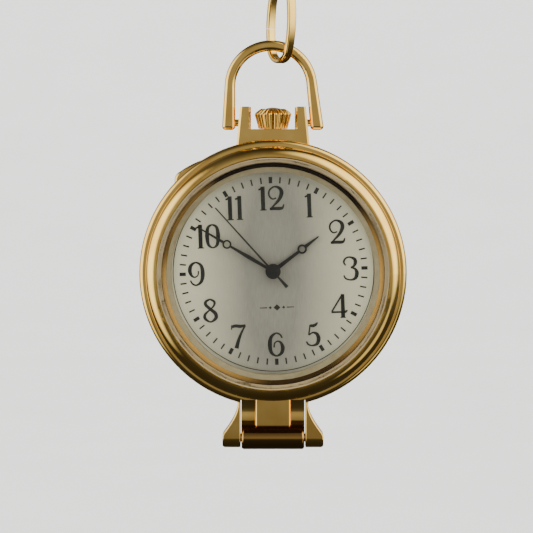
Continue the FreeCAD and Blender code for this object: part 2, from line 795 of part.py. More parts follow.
def make_crown():
    top_edge_r = CROWN_TOP_R - CROWN_RIB_TOP_R
    low_edge_r = CROWN_BASE_R - CROWN_RIB_BASE_R
    base_z = WEB_TOP_Z + 0.05
    dome = CROWN_TOP_Z - CROWN_SHOULDER_Z
    core = Part.Face(Part.Wire([
        Part.makeLine(Vector(0, 0, base_z), Vector(low_edge_r, 0, base_z)),
        Part.makeLine(Vector(low_edge_r, 0, base_z), Vector(top_edge_r, 0, CROWN_SHOULDER_Z)),
        Part.Arc(
            Vector(top_edge_r, 0, CROWN_SHOULDER_Z),
            Vector(top_edge_r / 2, 0, CROWN_TOP_Z - sag_at(top_edge_r / 2, top_edge_r, dome)),
            Vector(0, 0, CROWN_TOP_Z),
        ).toShape(),
        Part.makeLine(Vector(0, 0, CROWN_TOP_Z), Vector(0, 0, base_z)),
    ])).revolve(Vector(0, 0, 0), UP_Z, 360)
    slope = math.degrees(math.atan2(top_edge_r - low_edge_r, CROWN_SHOULDER_Z - base_z))
    rib_length = (CROWN_SHOULDER_Z - base_z) / math.cos(math.radians(slope))
    flank = Part.makeCone(CROWN_RIB_BASE_R, CROWN_RIB_TOP_R, rib_length)
    flank.rotate(Vector(0, 0, 0), UP_Y, slope)
    flank.translate(Vector(low_edge_r, 0, base_z))
    dome_r = (top_edge_r ** 2 + dome ** 2) / (2 * dome)
    dome_z = CROWN_TOP_Z - dome_r
    start = math.degrees(math.acos(top_edge_r / dome_r))
    end = math.degrees(math.acos(CROWN_RIB_END_R / dome_r))
    over = Part.makeTorus(dome_r, CROWN_RIB_TOP_R, Vector(0, 0, 0), UP_Z, 0, 360, end - start)
    over.rotate(Vector(0, 0, 0), UP_Z, start)
    over.rotate(Vector(0, 0, 0), RIGHT, 90)
    over.translate(Vector(0, 0, dome_z))
    shoulder = Part.makeSphere(CROWN_RIB_TOP_R * 1.005, Vector(top_edge_r, 0, CROWN_SHOULDER_Z))
    rise = math.sqrt(dome_r ** 2 - CROWN_RIB_END_R ** 2)
    tip = Part.makeSphere(CROWN_RIB_TOP_R * 1.005, Vector(CROWN_RIB_END_R, 0, dome_z + rise))
    one_rib = flank.fuse(shoulder).fuse(over).fuse(tip)
    ribs = []
    for i in range(CROWN_RIBS):
        rib = one_rib.copy()
        rib.rotate(Vector(0, 0, 0), UP_Z, (i + 0.5) * 360.0 / CROWN_RIBS)
        ribs.append(rib)
    crown = fuse(core, *ribs)
    crown = crown.common(Part.makeCylinder(4, 10, Vector(0, 0, base_z), UP_Z))
    crown.translate(Vector(0, STEM_Y, 0))
    crown = crown.cut(upright(TUBE_R + 0.05, 20, 22.3))
    crown = crown.cut(upright(1.58, 21.0, 21.36))
    return crown.cut(upright(STEM_R, 22, 23.0))


def make_crown_gasket():
    return Part.makeTorus(1.43, 0.14, Vector(0, STEM_Y, 21.18), UP_Z)


def make_stem():
    groove_top = GROOVE_Z + 0.25
    groove_low = GROOVE_Z - 0.25
    parts = [
        upright(STEM_R, groove_top, 23.0),
        upright(0.22, groove_low - 0.01, groove_top + 0.01),
        upright(STEM_R, 9.3, groove_low),
        box(-0.22, 0.22, STEM_Y - 0.22, STEM_Y + 0.22, 6.9, 9.31),
        upright(0.22, 6.5, 6.91),
    ]
    return fuse(*parts)


def make_sliding_pinion():
    blank = upright(0.62, 7.6, 8.7)
    blank = blank.cut(box(-0.25, 0.25, STEM_Y - 0.25, STEM_Y + 0.25, 5, 10))
    blank = blank.cut(upright(0.8, 8.0, 8.25).cut(upright(0.42, 7.9, 8.4)))
    for i in range(12):
        notch = box(0.3, 0.8, -0.05, 0.05, 7.5, 7.8)
        notch.rotate(Vector(0, 0, 0), UP_Z, i * 30.0)
        notch.translate(Vector(0, STEM_Y, 0))
        blank = blank.cut(notch)
    return blank


LEVER_PIVOT = (2.2, GROOVE_Z + LEVER_THROW / 2)


def make_setting_lever():
    plate_y = STEM_Y + STEM_R + 0.06
    pin_tip_y = STEM_Y + 0.26
    arm = bar(LEVER_PIVOT, (0, GROOVE_Z), 0.7, plate_y, plate_y + 0.18)
    eye = disc(0.75, plate_y, plate_y + 0.18, *LEVER_PIVOT)
    nose = disc(0.35, plate_y, plate_y + 0.18, 0, GROOVE_Z)
    pin = disc(0.14, pin_tip_y, plate_y + 0.18, 0, GROOVE_Z)
    return fuse(eye, arm, nose, pin).cut(disc(0.33, -5, 5, *LEVER_PIVOT))


def make_lever_post():
    plate_y = STEM_Y + STEM_R + 0.06
    post = disc(0.29, PLATE_BACK_Y, plate_y + 0.22, *LEVER_PIVOT)
    collar = disc(0.5, PLATE_BACK_Y, plate_y - 0.03, *LEVER_PIVOT)
    head = disc(0.5, plate_y + 0.22, plate_y + 0.4, *LEVER_PIVOT)
    return fuse(post, collar, head)


# Bow and suspension link


def flip(point):
    return -point[0], point[1]


def leg_start(radius, foot_x):
    """The point where the leg that ends at foot_x leaves the top arc without a kink."""
    over = foot_x + BOW_LEAN
    down = BOW_FOOT_Z - BOW_CENTRE_Z
    turn = math.copysign(math.acos(radius / math.hypot(over, down)), foot_x)
    angle = math.atan2(down, over) + turn
    return -BOW_LEAN + radius * math.cos(angle), BOW_CENTRE_Z + radius * math.sin(angle)


def make_bow():
    """The top arc sits a little to the left of the middle between the feet."""
    outer_x, inner_x = BOW_FOOT_OUTER_X, BOW_FOOT_INNER_X
    flat = face(
        in_front,
        (outer_x, BOW_FOOT_Z),
        leg_start(BOW_OUTER_R, outer_x),
        ((-BOW_LEAN, BOW_TOP_Z), leg_start(BOW_OUTER_R, -outer_x)),
        (-outer_x, BOW_FOOT_Z),
        (-inner_x, BOW_FOOT_Z),
        leg_start(BOW_INNER_R, -inner_x),
        ((-BOW_LEAN, BOW_CENTRE_Z + BOW_INNER_R), leg_start(BOW_INNER_R, inner_x)),
        (inner_x, BOW_FOOT_Z),
    )
    bow = cut_from_plate(flat, STEM_Y - BOW_HALF_DEPTH, STEM_Y + BOW_HALF_DEPTH)
    bow = bow.makeFillet(BOW_EDGE_R, bow.Edges)
    for side in SIDES:
        bow = bow.cut(across(BOW_PIN_R, min(side * 4, side * 6.4), max(side * 4, side * 6.4),
                             STEM_Y, BOW_PIN_Z))
    return bow


def make_bow_pins():
    pins = []
    for side in SIDES:
        pin = across(BOW_PIN_R, min(side * 3.95, side * 6.4), max(side * 3.95, side * 6.4),
                     STEM_Y, BOW_PIN_Z)
        pins.append(pin.makeChamfer(0.1, [e for e in pin.Edges if abs(e.CenterOfMass.x) < 4]))
    return Part.makeCompound(pins)


def oval(half_length, half_width, end_r):
    """An oval face of four tangent arcs, centred on the origin of the dial's plane."""
    rise = half_length - end_r
    side_r = (half_width ** 2 + rise ** 2 - end_r ** 2) / (2 * (half_width - end_r))
    side_centre = side_r - half_width
    join_angle = math.atan2(rise, side_centre)
    join = (end_r * math.cos(join_angle), rise + end_r * math.sin(join_angle))
    low_join = (join[0], -join[1])
    return face(
        in_front,
        low_join,
        ((half_width, 0.0), join),
        ((0.0, half_length), flip(join)),
        ((-half_width, 0.0), flip(low_join)),
        ((0.0, -half_length), low_join),
    )


def make_link():
    half_length = LINK_LENGTH / 2
    middle_z = LINK_BOTTOM_Z + half_length
    outer = oval(half_length + LINK_THICKNESS, LINK_HALF_WIDTH + LINK_THICKNESS,
                 LINK_END_R + LINK_THICKNESS)
    inner = oval(half_length, LINK_HALF_WIDTH, LINK_END_R)
    link = cut_from_plate(outer, -LINK_STRIP / 2, LINK_STRIP / 2)
    link = link.cut(cut_from_plate(inner, -LINK_STRIP, LINK_STRIP))
    link = link.makeFillet(0.22, link.Edges)
    seam = box(-10, 0, -5, 5, -0.9, -0.84)
    link = link.cut(seam)
    link.translate(Vector(0, 0, middle_z))
    return link_place(link)


# Reading lens


def make_thumb_tab():
    """A bump for the thumb: it rises slowly from the top and ends in a round shoulder."""
    low, rise, crest, shoulder, end = [polar(r, TAB_TOP_ANGLE + turn) for r, turn in TAB_OUTLINE]
    root = polar(FRAME_R - 1, TAB_TOP_ANGLE)
    root_end = polar(FRAME_R - 1, TAB_TOP_ANGLE + TAB_SPAN)
    flat = face(in_front, root, low, (rise, crest), (shoulder, end), root_end)
    tab = cut_from_plate(flat, FRAME_FRONT_Y + 0.4, FRAME_BACK_Y - 0.8)
    return round_edges(tab, 0.4, lambda point: math.hypot(point.x, point.z) > FRAME_R + 0.3)


def make_lens_frame():
    body = turned(
        (LENS_SEAT_R, FRAME_FRONT_Y),
        (FRAME_R - 0.5, FRAME_FRONT_Y),
        ((FRAME_R - 0.146, FRAME_FRONT_Y + 0.146), (FRAME_R, FRAME_FRONT_Y + 0.5)),
        (FRAME_R, FRAME_BACK_Y - 0.7),
        ((FRAME_R - 0.205, FRAME_BACK_Y - 0.205), (FRAME_R - 0.7, FRAME_BACK_Y)),
        (LENS_LIP_R + 0.2, FRAME_BACK_Y),
        (LENS_LIP_R, FRAME_BACK_Y - 0.2),
        (LENS_LIP_R, LENS_EDGE_BACK_Y + 0.05),
        (LENS_SEAT_R, LENS_EDGE_BACK_Y + 0.05),
    )
    window = disc(LENS_SEAT_R, 0, LENS_EDGE_BACK_Y + 0.05).fuse(disc(LENS_LIP_R, 0, 10))
    tab = make_thumb_tab().cut(window)
    barrel = across(BARREL_R, -BARREL_HALF, BARREL_HALF, HINGE_Y, HINGE_Z)
    barrel = round_edges(barrel, 0.35, lambda point: abs(point.x) > BARREL_HALF - 0.01)
    leaf = face(
        in_side,
        (2.45, -22.9),
        ((3.3, -20.6), (2.65, -18.25)),
        (FRAME_FRONT_Y + 0.15, -18.25),
        (FRAME_FRONT_Y + 0.15, -17.0),
        (5.9, -17.0),
        (5.9, -19.2),
        (4.05, -23.7),
        (HINGE_Y, HINGE_Z),
    ).extrude(Vector(2 * LEAF_HALF, 0, 0))
    leaf.translate(Vector(-LEAF_HALF, 0, 0))
    rib = face(
        in_side,
        (RIB_Y, HINGE_Z + 1.4),
        (RIB_Y, -18.45),
        (RIB_Y + 0.2, -18.25),
        (FRAME_FRONT_Y + 0.15, -18.25),
        (FRAME_FRONT_Y + 0.15, HINGE_Z + 1.4),
    ).extrude(Vector(2 * RIB_HALF, 0, 0))
    rib.translate(Vector(-RIB_HALF, 0, 0))
    rib = round_edges(
        rib, 0.35, lambda point: abs(point.y - RIB_Y) < 0.01 and abs(abs(point.x) - RIB_HALF) < 0.01)
    frame = fuse(body, tab, leaf.cut(window), rib, barrel)
    return frame.cut(across(HINGE_PIN_R + 0.03, -8, 8, HINGE_Y, HINGE_Z))


def make_magnifier_lens():
    rim_r = LENS_LIP_R + 0.03
    front_sag = LENS_EDGE_FRONT_Y - LENS_FRONT_Y
    back_sag = LENS_BACK_Y - LENS_EDGE_BACK_Y
    front_middle = (rim_r / 2, LENS_FRONT_Y + sag_at(rim_r / 2, rim_r, front_sag))
    back_middle = (rim_r / 2, LENS_BACK_Y - sag_at(rim_r / 2, rim_r, back_sag))
    return turned(
        (0.0, LENS_FRONT_Y),
        (front_middle, (rim_r, LENS_EDGE_FRONT_Y)),
        (LENS_R, LENS_EDGE_FRONT_Y),
        (LENS_R, LENS_EDGE_BACK_Y),
        (rim_r, LENS_EDGE_BACK_Y),
        (back_middle, (0.0, LENS_BACK_Y)),
    )


def make_lens_ring():
    return turned(
        (14.95, FRAME_FRONT_Y + 0.15),
        (15.15, FRAME_FRONT_Y),
        (LENS_SEAT_R, FRAME_FRONT_Y),
        (LENS_SEAT_R, LENS_EDGE_FRONT_Y - 0.02),
        (14.95, LENS_EDGE_FRONT_Y - 0.02),
    )


def make_hinge_pin():
    pin = across(HINGE_PIN_R, -HORN_OUTER_X + 0.05, HORN_OUTER_X - 0.05, HINGE_Y, HINGE_Z)
    return pin.makeChamfer(0.1, [e for e in pin.Edges if abs(e.CenterOfMass.x) > 7])


PARTS = {
    "suspension_link": make_link,
    "bow": make_bow,
    "bow_pins": make_bow_pins,
    "case_middle": make_case_middle,
    "bezel": make_bezel,
    "crystal": make_crystal,
    "crystal_gasket": make_crystal_gasket,
    "rehaut_ring": make_rehaut,
    "dial_ring": make_dial_ring,
    "case_back": make_case_back,
    "back_gasket": lambda: ring(CASE_BORE_R + 0.1, BACK_SEAT_R - 0.1, BACK_SEAT_Y, BACK_SEAT_Y + 0.2),
    "dial": make_dial,
    "hour_hand": make_hour_hand,
    "minute_hand": make_minute_hand,
    "seconds_hand": make_seconds_hand,
    "seconds_wheel": make_seconds_wheel,
    "centre_wheel": make_centre_wheel,
    "cannon_pinion": make_cannon_pinion,
    "hour_wheel": make_hour_wheel,
    "third_wheel": make_third_wheel,
    "intermediate_wheel": make_intermediate_wheel,
    "rotor": make_rotor,
    "minute_wheel": make_minute_wheel,
    "setting_wheel": make_setting_wheel,
    "main_plate": make_main_plate,
    "train_bridge": make_train_bridge,
    "bridge_bushes": make_bridge_bushes,
    "bridge_screws": make_bridge_screws,
    "stator": make_stator,
    "coil_core": make_coil_core,
    "coil_winding": make_coil_winding,
    "circuit_board": make_circuit_board,
    "driver_chip": make_chip,
    "quartz_can": make_quartz_can,
    "battery": make_battery,
    "battery_clamp": make_battery_clamp,
    "clamp_screw": make_clamp_screw,
    "movement_ring": make_movement_ring,
    "stem_tube": make_stem_tube,
    "crown": make_crown,
    "crown_gasket": make_crown_gasket,
    "stem": make_stem,
    "sliding_pinion": make_sliding_pinion,
    "setting_lever": make_setting_lever,
    "lever_post": make_lever_post,
    "hinge_pin": make_hinge_pin,
    "lens_frame": make_lens_frame,
    "magnifier_lens": make_magnifier_lens,
    "lens_ring": make_lens_ring,
}

for part_name, make in PARTS.items():
    save(part_name, solid(make()))
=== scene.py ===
import json
import math

import bmesh
import bpy
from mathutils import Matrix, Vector


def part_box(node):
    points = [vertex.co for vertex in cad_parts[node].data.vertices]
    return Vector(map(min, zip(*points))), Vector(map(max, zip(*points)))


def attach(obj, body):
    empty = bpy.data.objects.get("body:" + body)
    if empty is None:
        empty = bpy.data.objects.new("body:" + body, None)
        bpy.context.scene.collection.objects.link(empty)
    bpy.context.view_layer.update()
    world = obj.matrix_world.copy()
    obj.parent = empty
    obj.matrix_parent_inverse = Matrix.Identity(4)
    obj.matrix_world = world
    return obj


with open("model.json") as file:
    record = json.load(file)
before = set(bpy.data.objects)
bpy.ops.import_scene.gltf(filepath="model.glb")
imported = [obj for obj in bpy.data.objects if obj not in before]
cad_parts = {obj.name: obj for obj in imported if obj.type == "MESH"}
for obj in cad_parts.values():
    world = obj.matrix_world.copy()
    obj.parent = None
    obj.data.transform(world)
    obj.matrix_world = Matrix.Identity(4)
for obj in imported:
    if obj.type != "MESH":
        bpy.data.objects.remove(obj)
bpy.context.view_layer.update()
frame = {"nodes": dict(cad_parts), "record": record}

MM = 0.001


def middle_of(name):
    """The middle of a node's box at rest."""
    low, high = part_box(name)
    return (low + high) / 2


# Places on the watch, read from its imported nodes: +X right, +Y back, +Z up
BEZEL_FRONT_MM = -5.0
CASE = middle_of("bezel")
CASE.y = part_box("bezel")[0].y - BEZEL_FRONT_MM * MM
DIAL = middle_of("dial")
DIAL.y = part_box("dial")[0].y
HINGE_AXIS = middle_of("hinge_pin")
LENS_CENTRE = middle_of("magnifier_lens")


# Materials

# Darkening in crevices and where surfaces meet: part tarnish, part painted shade
TARNISH_AND_SHADE = (0.16, 0.09, 0.03)
# Painted shade on the hinge barrel: a darker brown gold, out to this distance from the hinge's axis
HINGE_SHADE_GOLD = (0.42, 0.24, 0.075)
HINGE_SHADE_MM = 1.8
LENS_FLAT_MM = 2.0
# Painted light: the dial's colour grows paler away from its centre, up to this distance
DIAL_PAINTED_LIGHT_MM = 14.4
# How much of a step up or down counts towards that distance, so the painted light falls mostly at both sides
DIAL_PAINTED_LIGHT_HEIGHT = 0.3


def fill_ramp(node, stops):
    """Gives a colour ramp its stops, each a position and a grey level or a colour."""
    elements = node.color_ramp.elements
    while len(elements) < len(stops):
        elements.new(0.5)
    for element, (position, colour) in zip(elements, stops):
        element.position = position
        element.color = (*colour, 1) if isinstance(colour, tuple) else (colour, colour, colour, 1)


class Shader:
    """A material's node tree, with short calls for the nodes that are used here."""

    def __init__(self, name):
        self.material = bpy.data.materials.new(name)
        self.material.use_nodes = True
        self.tree = self.material.node_tree
        self.bsdf = self.tree.nodes["Principled BSDF"]
        self.coords = self.tree.nodes.new("ShaderNodeTexCoord").outputs["Object"]

    def new(self, kind, **settings):
        node = self.tree.nodes.new(kind)
        for key, value in settings.items():
            setattr(node, key, value)
        return node

    def link(self, output, target):
        self.tree.links.new(output, target)

    def set(self, **values):
        for key, value in values.items():
            self.bsdf.inputs[key.replace("_", " ")].default_value = value

    def moved(self, scale, turn=(0, 0, 0), shift=(0, 0, 0)):
        node = self.new("ShaderNodeMapping")
        node.inputs["Scale"].default_value = scale
        node.inputs["Rotation"].default_value = [math.radians(a) for a in turn]
        node.inputs["Location"].default_value = shift
        self.link(self.coords, node.inputs["Vector"])
        return node.outputs["Vector"]

    def noise(self, scale, detail=3.0, roughness=0.5, vector=None, distortion=0.0):
        node = self.new("ShaderNodeTexNoise")
        node.inputs["Scale"].default_value = scale
        node.inputs["Detail"].default_value = detail
        node.inputs["Roughness"].default_value = roughness
        node.inputs["Distortion"].default_value = distortion
        self.link(vector or self.coords, node.inputs["Vector"])
        return node.outputs["Fac"]

    def ramp(self, value, *stops):
        node = self.new("ShaderNodeValToRGB")
        fill_ramp(node, stops)
        self.link(value, node.inputs["Fac"])
        return node.outputs["Color"]

    def math(self, operation, *values):
        node = self.new("ShaderNodeMath", operation=operation)
        for socket, value in zip(node.inputs, values):
            if isinstance(value, (int, float)):
                socket.default_value = value
            else:
                self.link(value, socket)
        return node.outputs["Value"]

    def mix(self, factor, a, b):
        node = self.new("ShaderNodeMix", data_type="RGBA")
        for name, value in (("Factor", factor), ("A", a), ("B", b)):
            socket = [s for s in node.inputs if s.name == name and s.enabled][0]
            if isinstance(value, (int, float)):
                socket.default_value = value
            elif isinstance(value, tuple):
                socket.default_value = (*value, 1)
            else:
                self.link(value, socket)
        return [s for s in node.outputs if s.enabled][0]

    def distance(self, point, scale):
        """How far the surface is from a point, where scale is how much each axis counts."""
        node = self.new("ShaderNodeVectorMath", operation="DISTANCE")
        self.link(self.moved(scale), node.inputs[0])
        node.inputs[1].default_value = [a * b for a, b in zip(point, scale)]
        return node.outputs["Value"]

    def bump(self, height, distance, strength=1.0):
        node = self.new("ShaderNodeBump")
        node.inputs["Strength"].default_value = strength
        node.inputs["Distance"].default_value = distance
        self.link(height, node.inputs["Height"])
        self.link(node.outputs["Normal"], self.bsdf.inputs["Normal"])


def scratches(shader, scale, turn, width, shift=(0, 0, 0)):
    """A mask from 0 to 1 of thin straight scratches that run one way."""
    vector = shader.moved((scale * 0.02, scale, scale * 0.02), turn, shift)
    lines = shader.noise(1.0, 2.0, 0.4, vector)
    return shader.ramp(lines, (0.5 - width, 0.0), (0.5, 1.0), (0.5 + width, 0.0))


def gold_material(name, polish=0.07, wear=0.5, dark=(0.86, 0.53, 0.14), light=(0.97, 0.66, 0.2), grain=0.0,
                  tarnish_and_shade_width=0.35, hinge_shade=0.0):
    """Gold plate: hairlines, handling marks, and darkening where two surfaces meet, part tarnish and part
    painted shade.

    The two last arguments are in millimetres: how wide the tarnish and painted shade in crevices reach, and
    how far a painted shade spreads from the hinge's axis.
    """
    s = Shader(name)
    plate = s.ramp(s.noise(260, 2.0, 0.5), (0.3, dark), (0.7, light))
    # Painted shade: darker brown gold round the hinge's axis, for the shade on the hinge barrel
    if hinge_shade:
        from_hinge = s.math("DIVIDE", s.distance(HINGE_AXIS, (0, 1, 1)), 2 * hinge_shade * MM)
        plate = s.mix(s.ramp(from_hinge, (0.47, 0.0), (0.53, 1.0)), HINGE_SHADE_GOLD, plate)
    # Part tarnish, part painted shade: the gold darkens where ambient occlusion finds a crevice or a meeting
    # of surfaces
    nook = s.new("ShaderNodeAmbientOcclusion", samples=8, only_local=False)
    nook.inputs["Distance"].default_value = tarnish_and_shade_width * MM
    clear_of_tarnish_and_shade = s.ramp(nook.outputs["AO"], (0.15, 0.0), (0.6, 1.0))
    s.link(s.mix(clear_of_tarnish_and_shade, TARNISH_AND_SHADE, plate), s.bsdf.inputs["Base Color"])
    first = scratches(s, 2600, (0, 35, 20), 0.012)
    second = scratches(s, 3400, (40, -50, 65), 0.01, (3, 1, 2))
    patches = s.ramp(s.noise(420, 3.0, 0.6), (0.45, 0.0), (0.65, 1.0))
    hairlines = s.math("MULTIPLY", s.math("MAXIMUM", first, second), patches)
    smudge = s.ramp(s.noise(330, 5.0, 0.7, distortion=1.2), (0.4, 0.0), (0.75, 1.0))
    rough = s.math("ADD", polish, s.math("MULTIPLY", smudge, 0.05 * wear))
    rough = s.math("ADD", rough, s.math("MULTIPLY", hairlines, 0.16 * wear))
    height = s.math("MULTIPLY", hairlines, -wear)
    if grain:
        brushed = s.noise(1.0, 2.0, 0.5, s.moved((300, 9000, 300)))
        rough = s.math("ADD", rough, s.math("MULTIPLY", brushed, grain))
        height = s.math("ADD", height, s.math("MULTIPLY", brushed, grain * 4))
    s.link(rough, s.bsdf.inputs["Roughness"])
    s.set(Metallic=1.0)
    s.bump(height, 1.5e-6)
    return s.material


def metal_material(name, colours, polish, brushed=0.0, scale=4000, distance=1.5e-6):
    """Metal of the works, with fine lines that run across the watch."""
    s = Shader(name)
    s.link(s.ramp(s.noise(500, 3.0), (0.3, colours[0]), (0.7, colours[1])), s.bsdf.inputs["Base Color"])
    lines = s.noise(1.0, 3.0, 0.6, s.moved((scale * 0.03, scale, scale)))
    s.link(s.math("ADD", polish, s.math("MULTIPLY", lines, brushed + 0.05)), s.bsdf.inputs["Roughness"])
    s.set(Metallic=1.0)
    s.bump(lines, distance)
    return s.material


def resin_material(name, colours, roughness, coat=0.0):
    """Plastic, rubber or paint with a fine even grain."""
    s = Shader(name)
    s.link(s.ramp(s.noise(900, 4.0), (0.3, colours[0]), (0.7, colours[1])), s.bsdf.inputs["Base Color"])
    fine = s.noise(3000, 4.0, 0.6)
    s.link(s.math("ADD", roughness, s.math("MULTIPLY", fine, 0.1)), s.bsdf.inputs["Roughness"])
    s.set(Coat_Weight=coat)
    s.bump(fine, 4e-6, 0.6)
    return s.material


def lens_material(name, tint, ior):
    """Clear glass that bends light, with a faint bloom of handling in its polish."""
    s = Shader(name)
    s.set(Transmission_Weight=1.0, IOR=ior, Base_Color=(*tint, 1))
    bloom = s.ramp(s.noise(150, 3.0), (0.55, 0.0), (0.75, 1.0))
    s.link(s.math("MULTIPLY", bloom, 0.03), s.bsdf.inputs["Roughness"])
    # The smooth normals pinch at the lens's centre: the flat ones serve there
    surface = s.new("ShaderNodeNewGeometry")
    near = s.math("LESS_THAN", s.distance(LENS_CENTRE, (1, 0, 1)), LENS_FLAT_MM * MM)
    s.link(s.mix(near, surface.outputs["Normal"], surface.outputs["True Normal"]), s.bsdf.inputs["Normal"])
    return s.material


def crystal_material(name, ior):
    """Flat glass: clear head on, mirror-like at a slant, with a few hairlines that catch the light."""
    s = Shader(name)
    s.tree.nodes.remove(s.bsdf)
    clear = s.new("ShaderNodeBsdfTransparent")
    clear.inputs["Color"].default_value = (0.985, 0.99, 0.985, 1)
    shine = s.new("ShaderNodeBsdfGlossy")
    marks = scratches(s, 1500, (0, 85, 8), 0.004)
    marks = s.math("MULTIPLY", marks, s.ramp(s.noise(150, 3.0), (0.5, 0.0), (0.66, 1.0)))
    s.link(s.math("MULTIPLY_ADD", marks, 0.35, 0.02), shine.inputs["Roughness"])
    fresnel = s.new("ShaderNodeFresnel")
    fresnel.inputs["IOR"].default_value = ior
    mixed = s.new("ShaderNodeMixShader")
    share = s.math("MULTIPLY_ADD", marks, 0.05, fresnel.outputs["Fac"])
    outside = s.math("SUBTRACT", 1.0, s.new("ShaderNodeNewGeometry").outputs["Backfacing"])
    s.link(s.math("MULTIPLY", share, outside), mixed.inputs["Fac"])
    s.link(clear.outputs["BSDF"], mixed.inputs[1])
    s.link(shine.outputs["BSDF"], mixed.inputs[2])
    s.link(mixed.outputs["Shader"], s.tree.nodes["Material Output"].inputs["Surface"])
    return s.material


def dial_material(name):
    """Satin silver paint with a fine upright grain, and painted light that makes it paler towards both sides.
    """
    s = Shader(name)
    grain = s.noise(1.0, 4.0, 0.6, s.moved((9000, 9000, 700)))
    cloud = s.noise(120, 3.0)
    base = s.ramp(cloud, (0.3, (0.14, 0.13, 0.095)), (0.7, (0.165, 0.155, 0.115)))
    painted_light_rim = s.ramp(cloud, (0.3, (0.56, 0.53, 0.36)), (0.7, (0.61, 0.58, 0.4)))
    from_middle = s.math("DIVIDE", s.distance(DIAL, (1, 0, DIAL_PAINTED_LIGHT_HEIGHT)), DIAL_PAINTED_LIGHT_MM * MM)
    # Painted light: the dark middle colour pales to the rim colour towards both sides
    paint = s.mix(s.ramp(from_middle, (0.25, 0.0), (0.95, 1.0)), base, painted_light_rim)
    speck = s.ramp(grain, (0.3, 0.93), (0.7, 1.0))
    s.link(s.mix(s.math("MULTIPLY", grain, 0.12), paint, speck), s.bsdf.inputs["Base Color"])
    s.link(s.math("ADD", 0.38, s.math("MULTIPLY", grain, 0.12)), s.bsdf.inputs["Roughness"])
    s.set(Metallic=0.25)
    s.bump(grain, 2e-6, 0.5)
    return s.material


MATERIALS = {
    "polished_gold": gold_material("polished_gold"),
    "mineral_glass": crystal_material("mineral_glass", 1.38),
    "lens_glass": lens_material("lens_glass", (0.97, 0.99, 0.98), 1.5),
    "ivory_seal": resin_material("ivory_seal", ((0.31, 0.23, 0.115), (0.36, 0.275, 0.145)), 0.6),
    "black_seal": resin_material("black_seal", ((0.015, 0.015, 0.015), (0.03, 0.03, 0.03)), 0.6),
    "cream_ring": resin_material("cream_ring", ((0.16, 0.125, 0.06), (0.2, 0.165, 0.085)), 0.4, 0.1),
    "silver_dial": dial_material("silver_dial"),
    "black_hand": resin_material("black_hand", ((0.004, 0.004, 0.004), (0.009, 0.008, 0.007)), 0.35, 0.1),
    "wheel_brass": metal_material("wheel_brass", ((0.62, 0.45, 0.2), (0.78, 0.6, 0.3)), 0.2),
    "wheel_plastic": resin_material("wheel_plastic", ((0.7, 0.68, 0.6), (0.8, 0.78, 0.7)), 0.4),
    "nickel_plate": metal_material("nickel_plate", ((0.6, 0.58, 0.54), (0.72, 0.7, 0.66)), 0.25, 0.15),
    "steel": metal_material("steel", ((0.5, 0.5, 0.5), (0.62, 0.62, 0.62)), 0.15, 0.1),
    "hinge_steel": metal_material("hinge_steel", ((0.62, 0.5, 0.3), (0.74, 0.62, 0.4)), 0.15, 0.1),
    "copper_wire": metal_material(
        "copper_wire", ((0.5, 0.16, 0.06), (0.72, 0.3, 0.14)), 0.3, 0.1, 9000, 8e-6,
    ),
    "green_board": resin_material("green_board", ((0.01, 0.1, 0.04), (0.02, 0.16, 0.06)), 0.3, 0.5),
    "black_resin": resin_material("black_resin", ((0.012, 0.012, 0.012), (0.025, 0.025, 0.025)), 0.5),
    "quartz_case": metal_material("quartz_case", ((0.66, 0.66, 0.65), (0.8, 0.8, 0.79)), 0.25, 0.1),
    "battery_steel": metal_material("battery_steel", ((0.6, 0.6, 0.6), (0.75, 0.75, 0.75)), 0.2, 0.15),
    "white_holder": resin_material("white_holder", ((0.66, 0.66, 0.63), (0.74, 0.74, 0.72)), 0.45),
}
# Nodes whose gold differs from the rest of their slot
SPECIAL = {
    # Painted shade: the rehaut's gold is a much darker copy, for the shade under the bezel
    "rehaut_ring": gold_material("shaded_mirror_gold", 0.05, 0.15, (0.22, 0.12, 0.03), (0.27, 0.155, 0.045)),
    "case_back": gold_material("satin_gold", 0.16, 0.6, grain=0.14),
    "bow": gold_material("bow_gold", 0.08, 0.8),
    "suspension_link": gold_material("link_gold", 0.1, 1.0),
    # The crown's and the lens frame's gold darken in crevices with tarnish and painted shade; the frame also
    # has painted shade round the hinge
    "crown": gold_material("crown_gold", 0.1, 0.7, tarnish_and_shade_width=0.2),
    "lens_frame": gold_material("lens_frame_gold", tarnish_and_shade_width=0.9, hinge_shade=HINGE_SHADE_MM),
}

for row in frame["record"]["subparts"]:
    node = frame["nodes"][row["node"]]
    finish = SPECIAL.get(row["node"], MATERIALS[row["material_slot"]])
    node.data.materials.clear()
    node.data.materials.append(finish)


# Dial print and one painted shadow line: millimetres from the dial's centre, made as thin plates of ink

# The print sits a little turned and to the right
PRINT_TURN = math.radians(2.03)
PRINT_SHIFT = 0.08
INK_DEPTH = 0.012
CURVE_STEPS = 8


def smooth_path(points):
    """A Catmull-Rom curve through (x, z, width) points, or the straight line between two."""
    if len(points) == 2:
        return points
    padded = [points[0]] + list(points) + [points[-1]]
    out = []
    for i in range(1, len(padded) - 2):
        before, start, end, after = padded[i - 1:i + 3]
        for k in range(CURVE_STEPS):
            t = k / CURVE_STEPS
            out.append(tuple(
                0.5 * (2 * b + (c - a) * t + (2 * a - 5 * b + 4 * c - d) * t * t
                       + (3 * b - a - 3 * c + d) * t ** 3)
                for a, b, c, d in zip(before, start, end, after)
            ))
    out.append(points[-1])
    return out


def strip_sides(path):
    """The left and right edge of a stroke of changing width."""
    left, right = [], []
    for i, (x, z, width) in enumerate(path):
        x0, z0 = path[max(i - 1, 0)][:2]
        x1, z1 = path[min(i + 1, len(path) - 1)][:2]
        length = math.hypot(x1 - x0, z1 - z0) or 1.0
        nx, nz = -(z1 - z0) / length * width / 2, (x1 - x0) / length * width / 2
        left.append((x + nx, z + nz))
        right.append((x - nx, z - nz))
    return left, right


